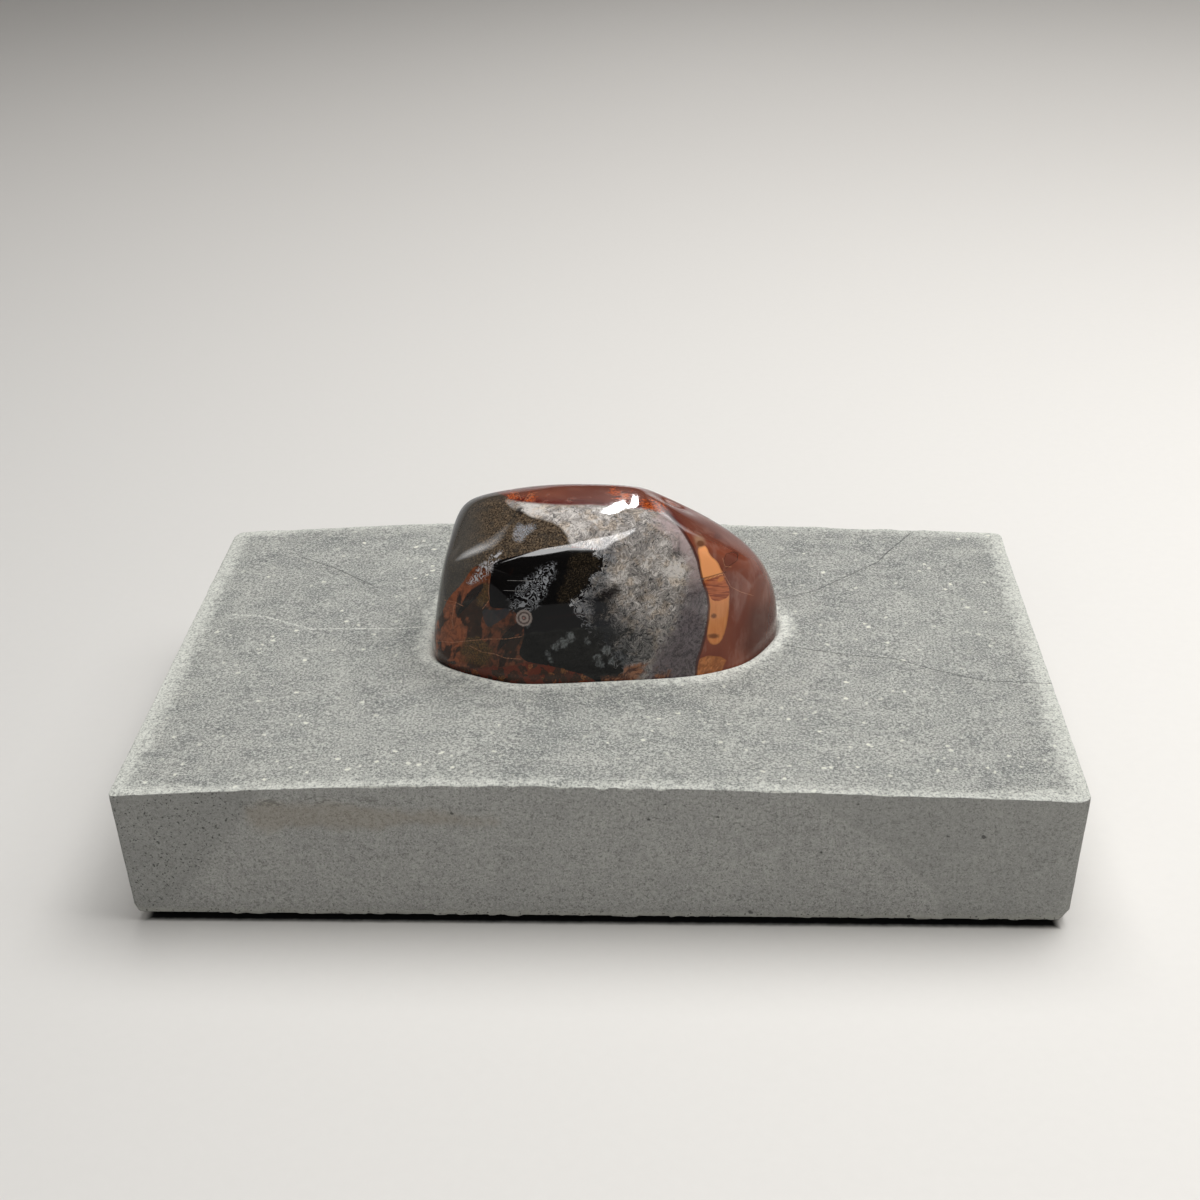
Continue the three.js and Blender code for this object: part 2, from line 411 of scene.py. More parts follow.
# Lines on the agate, and the ragged edge of its dark window
LINES = {
    "seam": [
        [(668, 513), (677, 523), (685, 534), (693, 548), (698, 561), (702, 579), (707, 593), (709, 606),
         (708, 620), (705, 636), (701, 650), (697, 661), (695, 690)],
    ],
    "scratch": [
        # The scratches are real marks; their pale glint is a painted highlight
        [(510, 580.5), (539, 581)],
        [(506, 590.5), (523, 591)],
        [(667, 577), (680, 578), (690, 580), (702, 579)],
        [(645, 574), (655, 577), (667, 577)],
    ],
    "pale_line": [
        [(438, 641), (452, 642.5), (467, 641), (488, 639), (505, 639), (519, 637)],
        [(447, 600.5), (455, 602), (461, 605)],
        [(472, 647), (482, 652), (495, 654), (505, 658), (518, 659)],
        [(489, 582), (488.5, 592), (489.5, 600), (484, 607)],
        [(724, 574), (731, 587), (741, 592), (751, 595)],
        [(507, 500), (511, 494), (518, 492), (520, 497)],
        [(524, 501), (529, 494), (535, 493)],
        [(512, 500), (518, 495)],
        [(527, 500), (533, 495)],
        [(454, 606), (452, 620), (453, 626)],
        # This pale line is a painted highlight along the leaf's lower left edge
        [(723.3, 560.4), (725.2, 566.6), (729, 566.8)],
    ],
    "dark_line": [
        [(725.5, 566), (723.6, 560.4), (726.3, 554), (733.9, 551.8), (738.4, 553.3), (737, 560.6),
         (728.6, 566.4)],
        # This dark line is a painted reflection of the slab's front edge in the black window
        [(548, 618), (560, 616), (575, 614.5), (590, 615)],
        [(701, 579), (712, 576), (724, 572.5)],
        [(571, 500), (590, 501), (602, 503)],
        [(511, 573), (512, 571)],
    ],
}
RAGGED_EDGE = [(603, 560), (597, 570), (588, 583), (576, 603), (588, 626), (612, 655), (625, 674)]

# Small ovals: x, y and half sizes
SPOTS = [(700.5, 543.5, 4, 3), (713.8, 615.9, 2.8, 2.4), (713.5, 636, 5.5, 2.4)]
GREY_SPOTS = [
    (548, 654, 3), (555, 647.5, 3.6), (562, 643, 4.5), (571, 637, 4.4), (586, 642, 3), (527, 625, 3.6),
    (551, 660, 2.2), (598, 657, 4), (607, 650, 4.5), (600, 665, 3.5), (611, 661, 3),
]
EYE = (524, 618)

# Soft lighter and darker places in the quartz: x, y, reach and strength
QUARTZ_TONES = [(676, 572, 15, 0.3), (655, 560, 18, 0.2), (614, 576, 11, 0.2), (634, 598, 18, 0.12),
                (590, 516, 40, 0.2), (530, 507, 20, 0.3), (676, 552, 6, -0.35), (640, 636, 20, -0.22),
                (604, 634, 22, -0.5), (602, 604, 14, -0.45), (645, 535, 14, -0.12), (622, 660, 14, -0.2),
                (655, 612, 12, 0.12), (690, 640, 20, -0.1), (612, 548, 10, -0.12), (650, 520, 18, 0.12)]

# The way the markings run, in degrees above the level
SLANT = 58

# Rows and columns of the photograph between which tones change, and where the small marks have faded
UP_ROWS, FOOT_ROWS, LEFT_COLUMNS = (625, 560), (646, 656), (510, 445)
FRONT_FADE = 12

# How far behind the agate's middle the bands start to wander and how far they stray, and their lumps
WANDER_FROM, WANDER_TO, WANDER_PX, WANDER_LUMP = -2, 14, 26, 11


def nearest_spot(spots, at):
    """How deep each place is in the nearest of several ovals."""
    best = np.full(len(at), -np.inf)
    for x, y, *radii in spots:
        wide, tall = radii if len(radii) == 2 else (radii[0], radii[0])
        off = np.hypot((at[:, 0] - x) / wide, (at[:, 1] - y) / tall)
        best = np.maximum(best, (1 - off) * min(wide, tall))
    return best


def mark_lines(piece, name, lines, at, unit=1.0):
    """Marks how far each vertex is from some lines, and the same with a side to it."""
    nearest, signed = beside_lines(lines, at)
    mark(piece, name, signed / unit)
    mark(piece, name + "_near", nearest / unit)


def mark_agate(piece, points):
    """Marks each vertex with how deep it lies in each of the agate's zones, in millimetres."""
    place = photo_place(points)
    _, _, ahead = camera_axes()
    behind = (points - AGATE_CENTRE) @ ahead

    # Away from the front the bands wander, and the small marks fade
    stray = smooth(behind, WANDER_FROM, WANDER_TO)[:, None]
    wander = np.stack([value_noise(points, WANDER_LUMP, seed) for seed in (3, 8)], axis=-1)
    place = place + stray * wander * WANDER_PX
    mark(piece, "front", 1 - smooth(behind, 0, FRONT_FADE))

    for zones, rounds in ((SOFT_ZONES, 2), (CRISP_ZONES, 1)):
        for name, outlines in zones.items():
            depths = [depth_inside(soften(outline, rounds), place) for outline in outlines]
            mark(piece, name, np.max(depths, axis=0) / PX_PER_MM)
    for name, lines in LINES.items():
        mark_lines(piece, name, lines, place, PX_PER_MM)
    mark(piece, "spots", nearest_spot(SPOTS, place) / PX_PER_MM)
    mark(piece, "grey_spots", nearest_spot(GREY_SPOTS, place) / PX_PER_MM)
    mark(piece, "eye", np.hypot(place[:, 0] - EYE[0], place[:, 1] - EYE[1]) / PX_PER_MM)
    ragged, _ = beside_lines([RAGGED_EDGE], place)
    mark(piece, "ragged", 1 - smooth(ragged / PX_PER_MM, 0.5, 4.0))
    tone = np.zeros(len(points))
    for x, y, reach, strength in QUARTZ_TONES:
        away = np.hypot(place[:, 0] - x, place[:, 1] - y)
        tone += strength * np.exp(-((away / reach) ** 2))
    mark(piece, "tone", tone)
    mark(piece, "upness", smooth(place[:, 1], *UP_ROWS))
    mark(piece, "footness", smooth(place[:, 1], *FOOT_ROWS))
    mark(piece, "leftness", smooth(place[:, 0], *LEFT_COLUMNS))
    mark(piece, "chart", np.stack([place[:, 0] / PX_PER_MM, -place[:, 1] / PX_PER_MM, behind], axis=-1))


def build_agate():
    ways, quads = cube_sphere(AGATE_CELLS)
    points = AGATE_CENTRE + ways * agate_reach(ways)[:, None]
    piece = make_mesh("agate_polished", points, quads.tolist())
    mark_agate(piece, points)
    return piece


slab_low, slab_high = (np.array(corner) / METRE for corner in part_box("slab"))
HALF_X = (slab_high[0] - slab_low[0]) / 2
HALF_Y = (slab_high[1] - slab_low[1]) / 2


def agate_side(turns, heights):
    """The distance in plan from the agate's middle to its side."""
    drop = heights - AGATE_CENTRE[2]
    plan = np.full(len(turns), 25.0)
    for _ in range(8):
        rise = np.degrees(np.arctan2(drop, plan))
        plan = np.sqrt(np.maximum(1, agate_reach(facing(turns, rise)) ** 2 - drop ** 2))
    return plan


def crowned(x):
    half = np.where(x > CROWN_X, HALF_X - CROWN_X, HALF_X + CROWN_X)
    out = np.minimum(1, np.abs(x - CROWN_X) / half)
    return CORNER_HEIGHT + CROWN_RISE * (1 - out ** CROWN_POWER)


def round_corners(square, inset):
    """Takes places on the unit square's rim to the slab's outline, set in by `inset`."""
    half = np.array([HALF_X, HALF_Y]) - inset
    plan = square * half
    radius = np.ones(len(plan))
    for (sx, sy), corner in CORNER_RADII.items():
        radius[(plan[:, 0] * sx > 0) & (plan[:, 1] * sy > 0)] = corner
    over = np.abs(plan) - (half - radius[:, None])
    at_corner = (over > 0).all(axis=1)
    pull = over.max(axis=1) / np.maximum(1e-9, np.linalg.norm(over, axis=1))
    pulled = np.sign(plan) * (half - radius[:, None] + over * pull[:, None])
    return np.where(at_corner[:, None], pulled, plan)


def rim_square():
    """Places round the unit square's rim, counter-clockwise and closest together along the front."""
    corner_run = 6.0
    sides = [((-1, -1), (1, -1), HALF_X, FRONT_STEP), ((1, -1), (1, 1), HALF_Y, OTHER_STEP),
             ((1, 1), (-1, 1), HALF_X, OTHER_STEP), ((-1, 1), (-1, -1), HALF_Y, OTHER_STEP)]
    places = []
    for start, end, half, step in sides:
        length = 2 * half
        middle = np.linspace(corner_run, length - corner_run, int((length - 2 * corner_run) / step))
        near = np.linspace(0, corner_run, 14)[:-1]
        run = np.concatenate([near, middle, length - near[::-1]])[:-1] / length
        a, b = np.array(start, float), np.array(end, float)
        places.append(a + run[:, None] * (b - a))
    return np.concatenate(places)


def grow_from_agate(square):
    """The slab's outer edge, and where each ray from the agate's middle to it leaves the agate."""
    outer = round_corners(square, 0)
    ray = outer - AGATE_CENTRE[:2]
    turns = np.degrees(np.arctan2(ray[:, 0], -ray[:, 1]))
    reach = np.full(len(turns), 25.0)
    unit = ray / np.linalg.norm(ray, axis=1, keepdims=True)
    for _ in range(4):
        contact = AGATE_CENTRE[:2] + unit * reach[:, None]
        reach = agate_side(turns, crowned(contact[:, 0]) + COLLAR_RISE) + BED_GAP
    return outer, AGATE_CENTRE[:2] + unit * reach[:, None], turns


def at_height(plan, height):
    """Plan points raised to a height."""
    return np.column_stack([plan, np.broadcast_to(height, len(plan))])


def build_slab():
    square = rim_square()
    outer, contact, turns = grow_from_agate(square)
    around = len(square)
    rows, sides = [], []

    # Down the bed to its middle, from below the lip to the resting spot
    lip = crowned(contact[:, 0]) + COLLAR_RISE
    lip_reach = np.linalg.norm(contact - AGATE_CENTRE[:2], axis=1)
    lip_rise = np.degrees(np.arctan2(lip - AGATE_CENTRE[2], lip_reach))
    for k in range(BED_ROWS, 0, -1):
        rise = lip_rise + (-89.0 - lip_rise) * k / BED_ROWS
        ways = facing(turns, rise)
        rows.append(AGATE_CENTRE + ways * (agate_reach(ways) + BED_GAP)[:, None])
        sides.append(0)

    # The top, from the lip out to the edge
    run = np.linspace(0, 1, TOP_ROWS)
    run = 0.5 * run + 0.5 * (0.5 - 0.5 * np.cos(np.pi * run))
    for share in run[:-1]:
        plan = contact + (outer - contact) * share
        away = np.linalg.norm(plan - contact, axis=1)
        height = crowned(plan[:, 0]) + COLLAR_RISE * np.exp(-((away / COLLAR_REACH) ** 2))
        height -= LIP_DROP * np.exp(-((away / LIP_REACH) ** 2))
        level = at_height(plan, 0)
        for amount, size, seed, full in TOP_RELIEF:
            height += amount * value_noise(level, size, seed) * smooth(away, 0, full)
        to_edge = np.linalg.norm(outer - plan, axis=1)
        height -= edge_wear(outer) * np.exp(-((to_edge / WEAR_REACH) ** 2))
        rows.append(at_height(plan, height))
        sides.append(0)

    # The worn edge, the drafted side and the broken lower rim
    edge = at_height(outer, 0)
    top = crowned(outer[:, 0]) - edge_wear(outer)
    worn = EDGE_ROUNDING + 0.05 * value_noise(edge, 5, 5) + 0.04 * value_noise(edge, 1.1, 6)
    for angle, side in ((0, 0), (30, 0.1), (60, 0.9), (90, 1)):
        inset = worn * (1 - np.sin(np.radians(angle))) + edge_wear(outer) * 0.3
        drop = worn * (1 - np.cos(np.radians(angle))) + 0.03
        rows.append(at_height(inset_outline(square, inset), top - drop))
        sides.append(side)
    rim = RIM_HEIGHT + 0.14 * value_noise(edge, 2.6, 11)
    rim += 0.9 * np.maximum(0, value_noise(edge, 1.0, 12) - 0.15)
    for k in range(1, SIDE_ROWS + 1):
        share = k / SIDE_ROWS
        height = (top - 0.2) + (rim - top + 0.2) * share
        plan = inset_outline(square, DRAFT_INSET * share)
        rough = 0.05 * value_noise(at_height(plan, height), 1.6, 9) * np.sin(np.pi * share)
        broken = RIM_BREAK * smooth(share, 0.93, 1.0) * (1 + value_noise(edge, 1.3, 13))
        rows.append(at_height(inset_outline(square, DRAFT_INSET * share + broken + rough), height))

    # In under the rim to the foot, and across the underside
    for inset, height in ((0.5, 0.97), (2.4, 0.9), (FOOT_INSET, 0.0)):
        rows.append(at_height(inset_outline(square, DRAFT_INSET + inset), RIM_HEIGHT * height))
    foot = rows[-1][:, :2]
    for share in (0.8, 0.4):
        rows.append(at_height(foot * share, 0))

    points = np.concatenate(rows)
    index = np.arange(len(points)).reshape(len(rows), around)
    after = np.roll(index, -1, axis=1)
    quads = np.stack([index[:-1], index[1:], after[1:], after[:-1]], axis=-1).reshape(-1, 4).tolist()
    bowl = len(points)
    bottom = bowl + 1
    down = facing(np.zeros(1), np.full(1, -90.0))
    resting = AGATE_CENTRE - [0, 0, agate_reach(down)[0] + BED_GAP]
    points = np.vstack([points, resting, [0, 0, 0]])
    quads += [[bowl, index[0][i], after[0][i]] for i in range(around)]
    quads += [[bottom, after[-1][i], index[-1][i]] for i in range(around)]
    sides += [1] * (len(rows) - len(sides))
    piece = make_mesh("slab_cast", points, quads)
    mark_slab(piece, points, np.concatenate([np.repeat(sides, around), [0, 1]]))
    return piece


def inset_outline(square, inset):
    """The slab's outline with its own inset at each place."""
    nearer = round_corners(square, 0)
    farther = round_corners(square, 5.0)
    share = np.broadcast_to(inset, len(square)) / 5.0
    return nearer + (farther - nearer) * share[:, None]


def edge_wear(outer):
    """How far the top edge is worn down: a little everywhere, and in notches along the front."""
    level = at_height(outer, 0)
    wear = 0.1 + 0.07 * value_noise(level, 4.0, 21) + 0.09 * value_noise(level, 1.2, 22)
    front = smooth(-outer[:, 1], HALF_Y - 2, HALF_Y - 0.5)
    for x, width, deep in FRONT_NOTCHES:
        wear += front * deep * np.exp(-(((outer[:, 0] - x) / width) ** 2))
    return wear


def mark_slab(piece, points, side):
    """Marks each vertex with where it is on the slab, and how deep in each of its marks."""
    plan = points[:, :2]
    face = points[:, [0, 2]]
    square = rim_square()
    _, contact, _ = grow_from_agate(square)
    mark(piece, "edge", depth_inside(round_corners(square, 0), plan))
    mark(piece, "dust_and_light_round_agate", -depth_inside(contact[::3], plan))
    mark(piece, "side", side)
    mark(piece, "face", side * smooth(-plan[:, 1], HALF_Y - 4.5, HALF_Y - 2.5))
    mark(piece, "height", points[:, 2])
    mark_lines(piece, "crack", TOP_CRACKS, plan)
    mark_lines(piece, "ridge", TOP_RIDGES, plan)
    for name, outline, rounds in (("pitted", PITTED_LEFT, 1), ("shaded", SHADED_RIGHT, 1),
                                  ("flaked", FLAKED, 1), ("stain", STAIN, 2)):
        mark(piece, name, depth_inside(soften(outline, rounds), face))
    mark(piece, "pit", nearest_spot(FRONT_PITS, face))


def paint(red, green, blue):
    """A colour as it looks on screen, from 0 to 255, made linear."""
    channels = np.array([red, green, blue]) / 255
    linear = np.where(channels <= 0.04045, channels / 12.92, ((channels + 0.055) / 1.055) ** 2.4)
    return (*linear.tolist(), 1.0)


class Shade:
    """Builds one material's nodes."""

    def __init__(self, name):
        self.material = bpy.data.materials.new(name)
        self.material.use_nodes = True
        self.nodes = self.material.node_tree.nodes
        self.links = self.material.node_tree.links
        self.nodes.clear()
        coordinates = self.nodes.new("ShaderNodeTexCoord")
        self.place = self.scaled(coordinates.outputs["Object"], 1 / METRE)

    def put(self, socket, value):
        """Links another node's socket, or sets a number or a colour as it looks on screen."""
        if isinstance(value, bpy.types.NodeSocket):
            self.links.new(value, socket)
        elif isinstance(value, tuple):
            socket.default_value = paint(*value)
        else:
            socket.default_value = value

    def scaled(self, vector, factor):
        node = self.nodes.new("ShaderNodeVectorMath")
        node.operation = "MULTIPLY"
        self.put(node.inputs[0], vector)
        node.inputs[1].default_value = (factor,) * 3 if isinstance(factor, (int, float)) else factor
        return node.outputs[0]

    def moved(self, vector, offset, amount):
        """A place pushed about by a colour's channels."""
        node = self.nodes.new("ShaderNodeVectorMath")
        node.operation = "MULTIPLY_ADD"
        self.put(node.inputs[0], offset)
        node.inputs[1].default_value = (amount,) * 3
        self.put(node.inputs[2], vector)
        return node.outputs[0]

    def math(self, operation, a, b=0.0):
        node = self.nodes.new("ShaderNodeMath")
        node.operation = operation
        self.put(node.inputs[0], a)
        self.put(node.inputs[1], b)
        return node.outputs[0]

    def sum(self, *parts):
        total = parts[0]
        for part in parts[1:]:
            total = self.math("ADD", total, part)
        return total

    def both(self, *parts):
        total = parts[0]
        for part in parts[1:]:
            total = self.math("MULTIPLY", total, part)
        return total

    def swing(self, noise, amount):
        """A noise about nought, times an amount."""
        return self.both(self.math("SUBTRACT", noise, 0.5), amount)

    def ramp(self, value, low, high, start=0.0, end=1.0):
        node = self.nodes.new("ShaderNodeMapRange")
        node.interpolation_type = "SMOOTHSTEP"
        self.put(node.inputs["Value"], value)
        node.inputs["From Min"].default_value = low
        node.inputs["From Max"].default_value = high
        node.inputs["To Min"].default_value = start
        node.inputs["To Max"].default_value = end
        return node.outputs["Result"]

    def mix(self, amount, a, b, blend="MIX"):
        node = self.nodes.new("ShaderNodeMix")
        node.data_type = "RGBA"
        node.blend_type = blend
        self.put(node.inputs["Factor"], amount)
        self.put(node.inputs[6], a)
        self.put(node.inputs[7], b)
        return node.outputs[2]

    def noise(self, scale, detail=2.0, rough=0.5, where=None, colour=False):
        node = self.nodes.new("ShaderNodeTexNoise")
        self.put(node.inputs["Vector"], self.place if where is None else where)
        node.inputs["Scale"].default_value = scale
        node.inputs["Detail"].default_value = detail
        node.inputs["Roughness"].default_value = rough
        return node.outputs["Color" if colour else "Fac"]

    def stretched(self, where, factors, detail, rough=0.5):
        """Noise with its own fineness along each axis."""
        return self.noise(1.0, detail, rough, where=self.scaled(where, factors))

    def pushed(self, scale, amount, detail=2):
        """The place pushed about by noise."""
        return self.moved(self.place, self.noise(scale, detail, colour=True), amount)

    def cells(self, scale, feature="F1", where=None, output="Distance"):
        node = self.nodes.new("ShaderNodeTexVoronoi")
        node.feature = feature
        self.put(node.inputs["Vector"], self.place if where is None else where)
        node.inputs["Scale"].default_value = scale
        return node.outputs[output]

    def turned(self, vector, degrees):
        """The chart turned, so that its first axis runs this many degrees above the level."""
        node = self.nodes.new("ShaderNodeVectorRotate")
        node.rotation_type = "Z_AXIS"
        self.put(node.inputs["Vector"], vector)
        node.inputs["Angle"].default_value = np.radians(-degrees)
        return node.outputs[0]

    def axes(self, vector):
        """The three numbers of a place."""
        node = self.nodes.new("ShaderNodeSeparateXYZ")
        self.put(node.inputs[0], vector)
        return node.outputs

    def mark(self, name, output="Fac"):
        node = self.nodes.new("ShaderNodeAttribute")
        node.attribute_name = name
        return node.outputs[output]

    def zone(self, name, break_up=None, reach=0.0, soft=0.06):
        """1 inside a marked zone, its edge pushed about by up to `reach` millimetres."""
        depth = self.mark(name)
        if break_up is not None:
            depth = self.sum(depth, self.swing(break_up, 2 * reach))
        return self.ramp(depth, -soft, soft)

    def line(self, name, width, soft=0.05):
        """1 along marked lines of this half width."""
        off = self.math("ABSOLUTE", self.mark(name))
        on_line = self.ramp(off, width, width + soft, 1.0, 0.0)
        return self.both(on_line, self.ramp(self.mark(name + "_near"), 0.35, 0.6, 1.0, 0.0))

    def finish(self, colour, roughness, height=None, strength=1.0, depth=0.0001, **sockets):
        shader = self.nodes.new("ShaderNodeBsdfPrincipled")
        out = self.nodes.new("ShaderNodeOutputMaterial")
        self.put(shader.inputs["Base Color"], colour)
        self.put(shader.inputs["Roughness"], roughness)
        for name, value in sockets.items():
            shader.inputs[name.replace("_", " ")].default_value = value
        if height is not None:
            bump = self.nodes.new("ShaderNodeBump")
            bump.inputs["Strength"].default_value = strength
            bump.inputs["Distance"].default_value = depth
            self.links.new(height, bump.inputs["Height"])
            self.links.new(bump.outputs["Normal"], shader.inputs["Normal"])
        self.links.new(shader.outputs["BSDF"], out.inputs["Surface"])
        return self.material


def agate_material():
    s = Shade("agate_polish")
    chart = s.mark("chart", "Vector")
    slanted = s.turned(chart, SLANT)
    front = s.mark("front")
    fine = s.noise(3.6, 4, 0.65)
    finest = s.noise(9.0, 2, 0.6)
    cloud = s.noise(0.11, 2)
    blotch = s.noise(0.7, 3, 0.6)

    curled = s.moved(slanted, s.noise(0.45, 2, 0.5, colour=True), 3.4)
    fibres = s.stretched(curled, (0.6, 1.5, 1.0), 4, 0.62)
    curl = s.noise(0.6, 1, 0.5, where=curled)
    rings = s.ramp(s.math("SINE", s.math("MULTIPLY", curl, 52.0)), -0.9, 1.0)
    lumps = s.noise(0.62, 4, 0.62, where=s.pushed(0.6, 2.2))

    # Red-brown jasper, streaked a little
    streak = s.stretched(chart, (2.2, 0.22, 0.5), 3, 0.6)
    colour = s.mix(s.ramp(cloud, 0.35, 0.65), (130, 70, 50), (110, 55, 40))
    colour = s.mix(s.ramp(streak, 0.4, 0.7, 0, 0.3), colour, (116, 68, 54))
    rim = s.both(s.ramp(s.mark("quartz"), -1.4, -0.2), s.ramp(s.mark("band"), -6, -3, 1, 0))
    colour = s.mix(rim, colour, (92, 18, 4))
    worn = s.stretched(chart, (0.5, 0.16, 0.3), 3, 0.6)
    colour = s.mix(s.ramp(worn, 0.48, 0.66, 0, 0.45), colour, (150, 106, 92))
    lobe_foot = s.both(s.ramp(s.mark("upness"), 0.5, 0.0, 0, 0.8), s.ramp(s.mark("band"), -2, -5))
    colour = s.mix(lobe_foot, colour, (80, 38, 26))

    # Dark olive stone with golden mottling
    warped = s.pushed(1.3, 0.5)
    gold = s.noise(3.8, 4, 0.72, where=warped)
    olive = s.mix(s.ramp(gold, 0.42, 0.62), (40, 35, 31), (120, 102, 82))
    olive = s.mix(s.ramp(blotch, 0.45, 0.7, 0, 0.6), olive, (58, 55, 51))
    olive = s.mix(s.both(s.ramp(s.mark("leftness"), 0.1, 0.9), 0.7), olive, (84, 82, 78))
    colour = s.mix(s.zone("olive", blotch, 0.25), colour, olive)

    # Rust blades, paler to the left
    rust = s.mix(s.ramp(s.sum(s.both(blotch, 0.5), s.both(fibres, 0.5)), 0.4, 0.62), (108, 62, 42),
                 (50, 36, 28))
    paler = s.both(s.ramp(s.mark("leftness"), 0.15, 0.9), s.ramp(fibres, 0.36, 0.6, 0.95, 0.4))
    rust = s.mix(paler, rust, (150, 86, 56))
    veins = s.stretched(slanted, (0.09, 0.36, 0.3), 3, 0.55)
    rust = s.mix(s.ramp(veins, 0.48, 0.54, 0, 0.9), rust, (34, 26, 22))
    moss = s.mix(s.ramp(gold, 0.4, 0.65), (50, 42, 30), (112, 82, 44))
    rust = s.mix(s.both(s.zone("moss", blotch, 0.9, 0.4), 0.85), rust, moss)
    colour = s.mix(s.zone("rust", fine, 0.2), colour, rust)
    colour = s.mix(s.both(s.zone("wedge", fine, 0.15, 0.12), 0.95), colour, (30, 26, 24))
    colour = s.mix(s.both(s.zone("slate", fine, 0.2, 0.1), 0.9), colour, (48, 49, 52))

    # Black window with a golden stripe
    black = s.mix(s.ramp(gold, 0.6, 0.78, 0, 0.3), (15, 14, 14), (84, 74, 54))
    stripe = s.mix(s.ramp(gold, 0.45, 0.72), (26, 22, 17), (82, 70, 54))
    black = s.mix(s.both(s.zone("golden", blotch, 1.2, 0.7), 0.75), black, stripe)
    colour = s.mix(s.zone("black", fine, 0.12), colour, black)

    # Quartz: a curdled mass of fine curls, dissolving into the black along its lower left
    drift = s.stretched(slanted, (0.1, 0.3, 0.2), 3, 0.5)
    thin = s.noise(1.15, 1, 0.5, where=s.scaled(curled, (0.8, 1.25, 1.0)))
    dark_curls = s.ramp(s.math("ABSOLUTE", s.math("SUBTRACT", thin, 0.5)), 0.0, 0.035, 1, 0)
    pale_curls = s.ramp(s.math("ABSOLUTE", s.math("SUBTRACT", curl, 0.54)), 0.0, 0.02, 1, 0)
    tone = s.sum(s.both(rings, 0.16), s.both(fibres, 0.75), s.both(lumps, 0.7), s.both(drift, 0.6),
                 s.both(s.mark("tone"), 1.15), s.both(dark_curls, -0.36), s.both(pale_curls, 0.26), -0.6)
    quartz = s.mix(s.ramp(tone, 0.0, 0.36), (34, 34, 36), (104, 101, 99))
    quartz = s.mix(s.ramp(tone, 0.3, 0.62), quartz, (152, 146, 141))
    quartz = s.mix(s.ramp(tone, 0.58, 0.92), quartz, (212, 206, 200))
    warm = s.ramp(s.noise(0.5, 3, 0.6), 0.48, 0.62, 0, 0.5)
    quartz = s.mix(warm, quartz, s.mix(1.0, quartz, (246, 228, 204), blend="MULTIPLY"))
    cool = s.both(s.mark("ragged"), s.ramp(fine, 0.3, 0.6, 0.3, 0.9))
    quartz = s.mix(cool, quartz, s.mix(1.0, quartz, (196, 208, 222), blend="MULTIPLY"))
    lilac = s.mix(s.ramp(s.sum(s.both(fine, 0.5), s.both(fibres, 0.5)), 0.36, 0.62), (56, 51, 54),
                  (108, 98, 101))
    lilac = s.mix(s.both(s.ramp(s.mark("upness"), 0.4, 1.0), 0.6), lilac, (206, 184, 182))
    quartz = s.mix(s.both(s.zone("lavender", lumps, 2.6, 1.4), 0.88), quartz, lilac)
    torn = s.sum(s.swing(lumps, 8.0), s.swing(rings, 1.2))
    depth = s.sum(s.mark("quartz"), s.both(torn, s.mark("ragged")))
    inside = s.ramp(depth, -0.25, 0.35)
    colour = s.mix(inside, colour, quartz)
    colour = s.mix(s.both(s.zone("gap", lumps, 2.4, 0.5), 0.9), colour, (26, 22, 21))

    # Pale threads and orbs in the black
    webbed = s.sum(s.both(rings, 0.5), fibres)
    threads = s.both(s.zone("threads", lumps, 1.6, 0.6), s.ramp(webbed, 0.7, 1.05), front)
    colour = s.mix(s.both(threads, 0.75), colour, (158, 160, 164))
    lace = s.both(s.zone("left_lace", fine, 0.9, 0.3), s.ramp(webbed, 0.6, 1.05), front)
    colour = s.mix(lace, colour, (182, 180, 182))
    spark = s.both(s.zone("sparkle", fine, 0.8, 0.4), s.ramp(finest, 0.5, 0.62), front)
    colour = s.mix(spark, colour, (205, 212, 222))
    grey = s.both(s.zone("grey_spots", lumps, 1.2, 0.25), s.ramp(fibres, 0.35, 0.65, 0.1, 0.7), front)
    colour = s.mix(grey, colour, (118, 122, 122))
    eye = s.mark("eye")
    orb = s.both(s.ramp(s.sum(eye, s.both(fine, 0.6)), 1.5, 1.9, 1, 0), front)
    eye_rings = s.ramp(s.math("SINE", s.math("MULTIPLY", s.sum(eye, s.both(fine, 0.5)), 9.0)), -0.9, 0.9)
    colour = s.mix(orb, colour, s.mix(eye_rings, (84, 73, 69), (150, 138, 131)))
    colour = s.mix(s.both(s.ramp(eye, 0.12, 0.32, 1, 0), front), colour, (170, 120, 110))

    # The broken strip along the foot, and its orange flames
    rubble = s.cells(0.9, where=s.pushed(1.2, 1.4), output="Color")
    split = s.nodes.new("ShaderNodeSeparateColor")
    s.links.new(rubble, split.inputs[0])
    strip = s.mix(s.ramp(split.outputs[0], 0.35, 0.6), (94, 42, 28), (52, 36, 28))
    ochre = s.both(s.ramp(split.outputs[1], 0.84, 0.93), s.ramp(fine, 0.4, 0.6, 0.1, 0.7))
    strip = s.mix(ochre, strip, (146, 96, 54))
    strip = s.mix(s.ramp(fine, 0.55, 0.7, 0, 0.6), strip, (124, 66, 44))
    colour = s.mix(s.zone("breccia", lumps, 0.8, 0.15), colour, strip)
    flame = s.mix(s.ramp(fibres, 0.4, 0.62), (74, 46, 36), (150, 100, 70))
    colour = s.mix(s.both(s.zone("flames", lumps, 2.2, 0.7), front, 0.9), colour, flame)

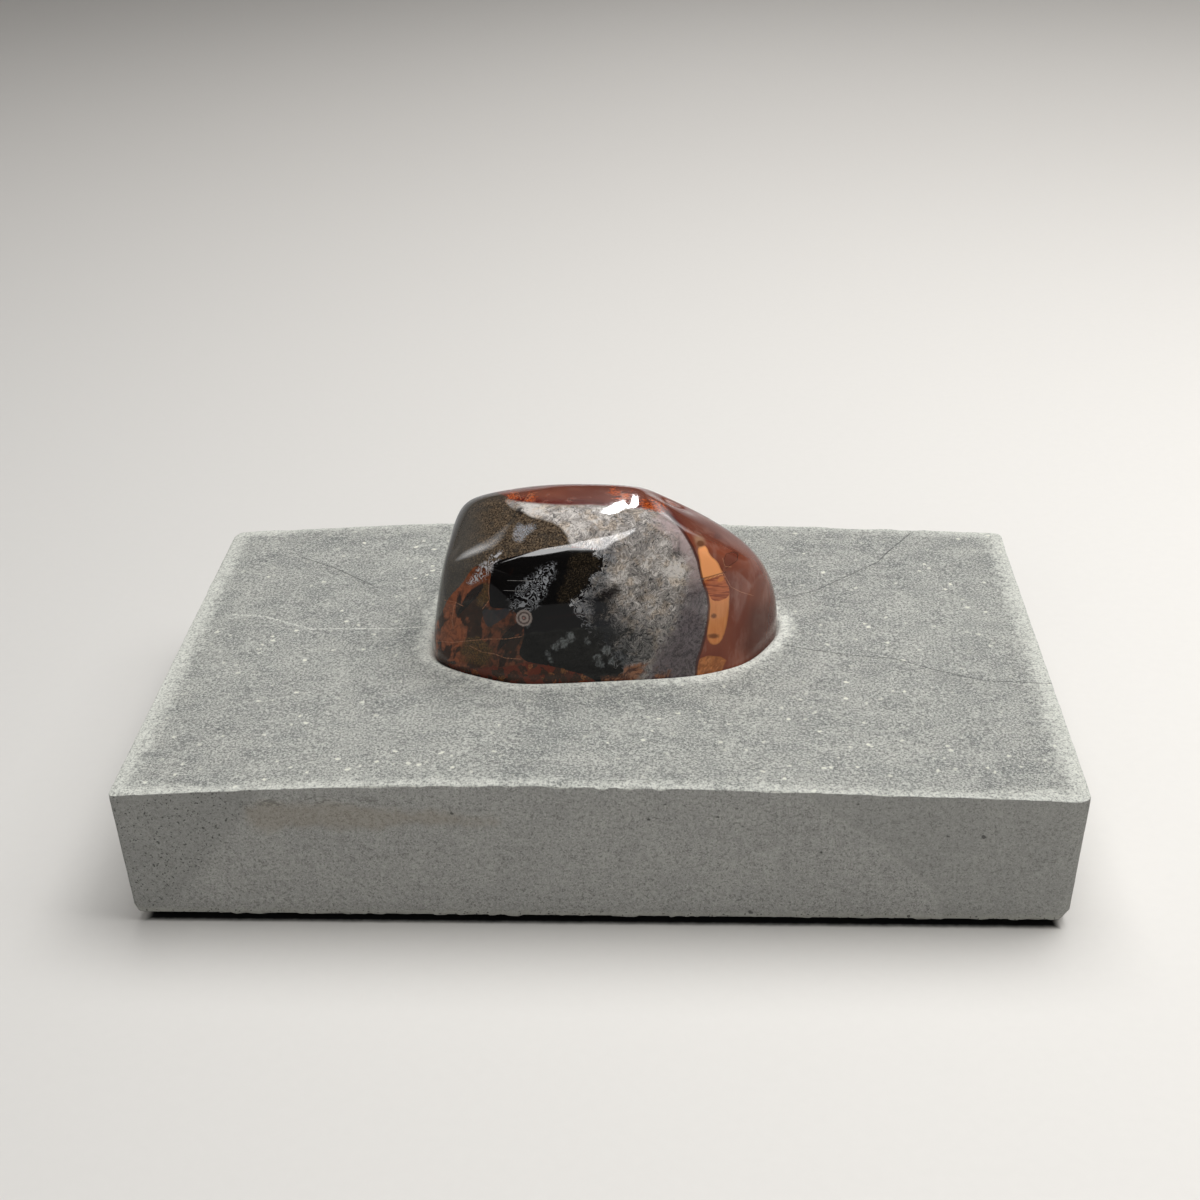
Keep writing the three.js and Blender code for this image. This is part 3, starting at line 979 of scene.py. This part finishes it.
    # The caramel band and its tile
    band = s.mix(s.ramp(streak, 0.35, 0.7), (196, 122, 70), (206, 136, 82))
    # Painted reflection: the band is painted lighter towards its top
    band = s.mix(s.ramp(s.mark("upness"), 0.0, 1.0), band, (246, 166, 108))
    band = s.mix(s.both(s.mark("footness"), s.ramp(fibres, 0.35, 0.6, 0.3, 1.0)), band, (138, 84, 50))
    band = s.mix(s.ramp(s.mark("band"), 0.35, 0.0, 0, 0.5), band, (150, 88, 50))
    colour = s.mix(s.zone("band", fine, 0.07, 0.08), colour, band)
    layers = s.stretched(chart, (0.3, 3.4, 0.5), 2)
    tile = s.mix(s.ramp(layers, 0.4, 0.62), (130, 58, 32), (180, 98, 58))
    colour = s.mix(s.both(s.zone("tile", fine, 0.1, 0.08), 0.95), colour, tile)
    colour = s.mix(s.zone("tile_window", fine, 0.1, 0.06), colour, (196, 118, 60))
    colour = s.mix(s.both(s.zone("blob", fine, 0.15, 0.5), 0.8), colour, (158, 124, 98))
    colour = s.mix(s.both(s.zone("spots", fine, 0.12, 0.18), 0.8, front), colour, (92, 50, 30))
    colour = s.mix(s.both(s.zone("leaf", fine, 0.1, 0.1), 0.5, front), colour, (88, 42, 34))

    # Crackled carnelian under the top
    shards = s.cells(1.5, "DISTANCE_TO_EDGE", s.pushed(1.5, 0.6))
    glow = s.mix(s.ramp(finest, 0.4, 0.6), (170, 62, 24), (234, 128, 66))
    glow = s.mix(s.ramp(shards, 0.03, 0.14), (98, 26, 12), glow)
    crackle = s.both(s.zone("crackle", lumps, 2.0, 0.35), s.ramp(fine, 0.36, 0.52), front)
    colour = s.mix(crackle, colour, glow)

    # Seams, scratches and healed cracks, with painted light among them: the scratches' pale glint and a pale
    # line on the leaf are painted highlights, and a dark line in the black is a painted reflection of the
    # slab's edge
    colour = s.mix(s.both(s.line("seam", 0.16, 0.16), 0.75), colour, (58, 32, 30))
    colour = s.mix(s.both(s.line("dark_line", 0.04, 0.09), 0.6, front), colour, (40, 22, 18))
    pale = s.both(s.line("pale_line", 0.0, 0.1), s.ramp(fine, 0.35, 0.6, 0.1, 0.7), front)
    colour = s.mix(pale, colour, (196, 138, 104))
    # Scratches: real marks, with their pale glint painted in as a highlight
    scratch = s.both(s.line("scratch", 0.02, 0.06), s.ramp(fine, 0.3, 0.6, 0.2, 0.7), front)
    colour = s.mix(scratch, colour, (150, 148, 146))

    height = s.both(s.noise(0.18, 1), 0.1)
    polish = s.ramp(fine, 0.3, 0.7, 0.035, 0.06)
    return s.finish(colour, polish, height, 0.2, IOR=1.54, Specular_IOR_Level=0.38)


def slab_material():
    s = Shade("slab_cement")
    side = s.mark("side")
    face = s.mark("face")
    edge = s.mark("edge")
    grain = s.noise(2.6, 4, 0.72)
    speck = s.noise(6.5, 2, 0.6)
    patchy = s.noise(0.16, 4, 0.6)
    cloud = s.noise(0.035, 3, 0.55)
    warped = s.pushed(0.9, 1.2)

    # The top: sandy and streaked across, with pale dust on its rims and round the agate; round the agate the
    # pale is laid on thicker as painted light that takes out the agate's shade
    flow = s.stretched(s.place, (0.1, 0.32, 0.2), 4, 0.65)
    top = s.mix(s.ramp(patchy, 0.32, 0.68), (121, 123, 121), (156, 156, 151))
    top = s.mix(s.ramp(flow, 0.44, 0.64, 0, 0.4), top, (176, 176, 170))
    top = s.mix(s.ramp(cloud, 0.4, 0.65, 0, 0.3), top, (172, 173, 166))
    top = s.mix(s.ramp(grain, 0.38, 0.50, 0.8, 0.0), top, (86, 88, 87))
    top = s.mix(s.ramp(grain, 0.50, 0.62, 0.0, 0.75), top, (206, 207, 199))
    top = s.mix(s.ramp(speck, 0.54, 0.68, 0.0, 0.6), top, (220, 221, 212))
    clusters = s.ramp(s.noise(0.09, 2), 0.42, 0.6, 0.25, 1.0)
    fleck = s.both(s.ramp(s.cells(0.36, where=warped), 0.08, 0.2, 0.85, 0), clusters)
    top = s.mix(fleck, top, (230, 230, 216))
    fray = s.swing(s.noise(0.7, 5, 0.75), 9.0)
    gritty = s.ramp(grain, 0.38, 0.52, 0.35, 1)
    across, _, _ = s.axes(s.place)
    ends = s.ramp(s.math("ABSOLUTE", across), 60, 70, 0.0, 1.5)
    dust = s.ramp(s.sum(edge, fray, s.both(ends, -1.0)), -0.6, 3.0, 0.72, 0)
    top = s.mix(s.both(dust, gritty), top, (224, 225, 216))
    # Pale dust round the agate, strengthened as painted light over the shade the agate casts
    dust_and_light_round_agate = s.ramp(s.sum(s.mark("dust_and_light_round_agate"), fray), 0.0, 3.8, 0.9, 0)
    top = s.mix(s.both(dust_and_light_round_agate, s.ramp(grain, 0.36, 0.52, 0.4, 1)), top, (238, 239, 230))
    crack = s.both(s.line("crack", 0.07, 0.14), s.ramp(grain, 0.35, 0.6, 0.95, 0.5))
    top = s.mix(crack, top, (84, 86, 84))
    ridge = s.both(s.line("ridge", 0.1, 0.25), s.ramp(grain, 0.4, 0.55, 0.1, 0.8))
    top = s.mix(ridge, top, (222, 223, 214))

    # The sides: smoother and darker, with the front's pits, stain and flaked places
    wall = s.mix(s.ramp(patchy, 0.3, 0.7), (147, 147, 144), (156, 156, 152))
    mottle = s.noise(1.2, 4, 0.7)
    wall = s.mix(s.ramp(mottle, 0.52, 0.38, 0.0, 0.45), wall, (122, 122, 118))
    wall = s.mix(s.ramp(mottle, 0.52, 0.66, 0.0, 0.45), wall, (170, 170, 165))
    wall = s.mix(s.ramp(grain, 0.5, 0.38, 0.0, 0.8), wall, (100, 100, 97))
    wall = s.mix(s.ramp(speck, 0.5, 0.66, 0.0, 0.65), wall, (182, 182, 177))
    pitted = s.both(face, s.ramp(s.sum(s.mark("pitted"), s.both(patchy, 2.0)), 0.2, 2.5))
    wall = s.mix(s.both(pitted, 0.35), wall, (120, 121, 118))
    shaded = s.both(face, s.ramp(s.mark("shaded"), -0.2, 0.6))
    wall = s.mix(s.both(shaded, 0.25), wall, (128, 129, 125))
    stain = s.sum(s.mark("stain"), s.swing(patchy, 5))
    stain = s.both(face, s.ramp(stain, -0.8, 1.6))
    wall = s.mix(s.both(stain, 0.4), wall, (138, 128, 112))
    chips = s.ramp(s.stretched(s.place, (0.5, 0.5, 1.3), 4, 0.7), 0.52, 0.6)
    chips = s.both(face, s.zone("flaked", patchy, 1.5, 0.4), chips)
    wall = s.mix(s.both(chips, 0.6), wall, (98, 97, 94))
    lit_edge = s.both(face, s.ramp(s.math("ABSOLUTE", s.mark("shaded")), 0.1, 0.6, 0.18, 0))
    wall = s.mix(lit_edge, wall, (176, 176, 170))
    height = s.mark("height")
    ragged = s.ramp(s.sum(height, s.both(grain, 1.4)), 2.7, 3.7, 0.5, 0)
    wall = s.mix(ragged, wall, (168, 168, 160))
    holes = s.ramp(s.cells(1.5, where=warped), 0.14, 0.26, 1, 0)
    many = s.sum(s.both(pitted, s.ramp(patchy, 0.3, 0.5, 0.4, 1)), s.both(ragged, 3.0), s.both(face, 0.15))
    holes = s.both(holes, many)
    pit = s.math("MAXIMUM", s.both(face, s.ramp(s.mark("pit"), -0.08, 0.05)), s.math("MINIMUM", holes, 1.0))
    wall = s.mix(s.both(pit, 0.75), wall, (58, 58, 56))

    colour = s.mix(side, top, wall)
    relief = s.sum(grain, s.both(speck, 0.35), s.both(pit, -1.6), s.both(s.line("crack", 0.05, 0.15), -1.0))
    dullness = s.ramp(grain, 0.3, 0.7, 0.82, 0.95)
    return s.finish(colour, dullness, relief, 0.6, 0.0002, Specular_IOR_Level=0.3)


def floor_material():
    s = Shade("floor_paper")
    fibre = s.noise(0.5, 4, 0.6)
    colour = s.mix(fibre, (238, 235, 230), (242, 239, 234))
    across, back, _ = s.axes(s.place)
    # Painted shade: the floor darkens to the left and towards the back, as the light falls off there
    colour = s.mix(s.ramp(across, 300, -520, 0.0, 0.9), colour, (178, 177, 175))
    colour = s.mix(s.ramp(back, 20, 520, 0.0, 0.55), colour, (206, 202, 197))
    # Painted shadow: the floor is painted near black under the slab and in the gap below its rim
    under = s.math("MINIMUM", s.math("SUBTRACT", HALF_X - SHADOW_SIDE_INSET, s.math("ABSOLUTE", across)),
                   s.math("SUBTRACT", HALF_Y - SHADOW_FRONT_INSET, s.math("ABSOLUTE", back)))
    colour = s.mix(s.ramp(s.sum(under, s.both(fibre, 0.5)), -0.5, 0.9), colour, (24, 24, 24))
    return s.finish(colour, 0.9, fibre, 0.05, Specular_IOR_Level=0.1)


def build_floor():
    """A round pale floor whose rim curves up into a low wall."""
    profile = [(0, 0), (150, 0), (400, 0), (800, 0), (FLOOR_RADIUS, 0)]
    for a in np.radians(np.arange(15, 91, 15)):
        profile.append((FLOOR_RADIUS + COVE_RADIUS * np.sin(a), COVE_RADIUS * (1 - np.cos(a))))
    profile.append((FLOOR_RADIUS + COVE_RADIUS, WALL_HEIGHT))
    turns = np.radians(np.arange(0, 360, 3))
    points = [(0, 0, 0)]
    for radius, height in profile[1:]:
        points += [(radius * np.cos(t), radius * np.sin(t), height) for t in turns]
    around = len(turns)
    faces = [[0, 1 + i, 1 + (i + 1) % around] for i in range(around)]
    for ring in range(len(profile) - 2):
        a = 1 + ring * around
        b = a + around
        faces += [[a + i, b + i, b + (i + 1) % around, a + (i + 1) % around] for i in range(around)]
    floor = make_mesh("floor", np.array(points, float), faces)
    floor.data.materials.append(floor_material())


def build_card(name, corners, distance, strength):
    """A lit card that only shows in polished surfaces. Its corners are turns and rises."""
    ways = facing(*np.array(corners, float).T)
    middle = ways.mean(axis=0)
    middle /= np.linalg.norm(middle)
    points = GLOSS_CENTRE + ways * distance / (ways @ middle)[:, None]
    card = make_mesh(name, points, [list(range(len(points)))])
    light_up(card, np.ones(len(points)), strength)


def build_glow(name, spine, half_width, distance, strength):
    """A lit strip along turns and rises, brightest along its middle and fading out all round."""
    ways = facing(*np.array(spine, float).T)
    along = np.gradient(ways, axis=0)
    across = np.cross(along, ways)
    across *= np.tan(np.radians(half_width)) / np.linalg.norm(across, axis=1, keepdims=True)
    points = GLOSS_CENTRE + np.concatenate([ways - across, ways, ways + across]) * distance
    count = len(spine)
    faces = [[row * count + i, row * count + i + 1, (row + 1) * count + i + 1, (row + 1) * count + i]
             for row in range(2) for i in range(count - 1)]
    glow = np.zeros(3 * count)
    glow[count:2 * count] = np.sin(np.linspace(0, np.pi, count))
    light_up(make_mesh(name, points, faces), glow, strength)


def light_up(card, glow, strength):
    """Makes a card shine by its glow, and keeps it out of everything but polished surfaces."""
    mark(card, "glow", glow)
    material = bpy.data.materials.new(card.name)
    material.use_nodes = True
    nodes, links = material.node_tree.nodes, material.node_tree.links
    nodes.clear()
    glow_mark = nodes.new("ShaderNodeAttribute")
    glow_mark.attribute_name = "glow"
    scale = nodes.new("ShaderNodeMath")
    scale.operation = "MULTIPLY"
    scale.inputs[1].default_value = strength
    light = nodes.new("ShaderNodeEmission")
    out = nodes.new("ShaderNodeOutputMaterial")
    links.new(glow_mark.outputs["Fac"], scale.inputs[0])
    links.new(scale.outputs[0], light.inputs["Strength"])
    links.new(light.outputs[0], out.inputs["Surface"])
    card.data.materials.append(material)
    hide_from_all_but_gloss(card)


def hide_from_all_but_gloss(piece):
    piece.visible_camera = False
    piece.visible_diffuse = False
    piece.visible_transmission = False
    piece.visible_shadow = False


def area_light(name, at, aim, width, depth, watts):
    lamp = bpy.data.lights.new(name, "AREA")
    lamp.shape = "RECTANGLE"
    lamp.size = width * METRE
    lamp.size_y = depth * METRE
    lamp.energy = watts
    light = bpy.data.objects.new(name, lamp)
    bpy.context.scene.collection.objects.link(light)
    back = np.array(at, float) - np.array(aim, float)
    back /= np.linalg.norm(back)
    side = np.cross([0.0, 1.0, 0.01], back)
    side /= np.linalg.norm(side)
    up = np.cross(back, side)
    turn = Matrix([side, up, back]).transposed().to_4x4()
    turn.translation = (np.array(at) * METRE).tolist()
    light.matrix_world = turn
    light.visible_glossy = False


def build_lights():
    area_light("overhead", (80, 170, 850), (20, 0, 0), 800, 800, 6.4)
    area_light("right", (450, 60, 780), (40, 0, 0), 620, 620, 2.8)
    area_light("front_fill", (-200, -1100, 700), (0, 0, 20), 900, 700, 3.7)
    window = [(177.9, 9), (178.8, 6), (179.5, 8), (179.6, 46), (178.9, 50), (178.0, 42)]
    build_card("window", window, WINDOW_DISTANCE, 40)
    build_card("window_pane", [(176.2, 6), (176.8, 4.6), (177.0, 9), (176.6, 12)], WINDOW_DISTANCE, 30)
    build_card("window_corner", [(177.0, 5), (177.6, 5), (177.7, 16), (177.2, 12)], WINDOW_DISTANCE, 30)
    skylight = [
        (-41, 35), (-18, 57), (-8, 62), (0, 61), (3, 64), (7, 65), (33, 80), (9.2, 48.5), (9.6, 38.4),
        (3.2, 51.3), (-18, 55),
    ]
    build_card("skylight", skylight, SKY_DISTANCE, 12)
    side_window = [(-98, 16), (-103, 28), (-109, 36), (-114, 42), (-116, 49), (-114, 58)]
    build_glow("side_window", side_window, 13, SKY_DISTANCE, 7)
    back_window = [(175, 3.5), (169, 3), (166, 3), (160, 7), (152, 14)]
    build_glow("back_window", back_window, 3, WINDOW_DISTANCE, 1.4)
    world = bpy.data.worlds.new("room")
    world.use_nodes = True
    backdrop = world.node_tree.nodes["Background"]
    backdrop.inputs["Color"].default_value = (1.0, 0.98, 0.95, 1)
    backdrop.inputs["Strength"].default_value = 0.06
    world.cycles_visibility.glossy = False
    bpy.context.scene.world = world


def build_flag(name, corners, tone):
    """A board or sheet that only the agate's polish sees, in place of the pale floor and wall."""
    flag = make_mesh(name, np.array(corners, float), [[0, 1, 2, 3]])
    material = bpy.data.materials.new(name)
    material.use_nodes = True
    material.node_tree.nodes["Principled BSDF"].inputs["Base Color"].default_value = (tone, tone, tone, 1)
    flag.data.materials.append(material)
    hide_from_all_but_gloss(flag)


def build_camera():
    right, up, ahead = camera_axes()
    lens = bpy.data.cameras.new("camera")
    lens.sensor_width = SENSOR_WIDTH
    lens.lens = FOCAL_PX / PHOTO_SIDE * SENSOR_WIDTH
    lens.clip_start = 0.01
    camera = bpy.data.objects.new("camera", lens)
    bpy.context.scene.collection.objects.link(camera)
    place = Matrix([right, up, -ahead]).transposed().to_4x4()
    place.translation = (CAMERA_AT * METRE).tolist()
    camera.matrix_world = place
    bpy.context.scene.camera = camera


agate = build_agate()
agate.data.materials.append(agate_material())
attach(agate, "root")
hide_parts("agate")

slab = build_slab()
slab.data.materials.append(slab_material())
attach(slab, "root")
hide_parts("slab")

build_floor()
build_flag("flag", [(-700, -250, -5), (700, -250, -5), (700, -250, 130), (-700, -250, 130)], 0.01)
build_flag("front_sheet", [(-260, -250, 1), (260, -250, 1), (260, -51, 1), (-260, -51, 1)], 0.3)
build_flag("left_sheet", [(-900, -250, 1), (-80, -250, 1), (-80, 900, 1), (-900, 900, 1)], 0.2)
build_flag("back_sheet", [(-80, 60, 1), (500, 60, 1), (900, 1050, 1), (-80, 1050, 1)], 0.25)
build_flag("back_board", [(-1100, 1050, -5), (1100, 1050, -5), (1100, 1050, 500), (-1100, 1050, 500)], 0.06)
build_lights()
build_camera()
bpy.context.scene.view_settings.view_transform = "Standard"
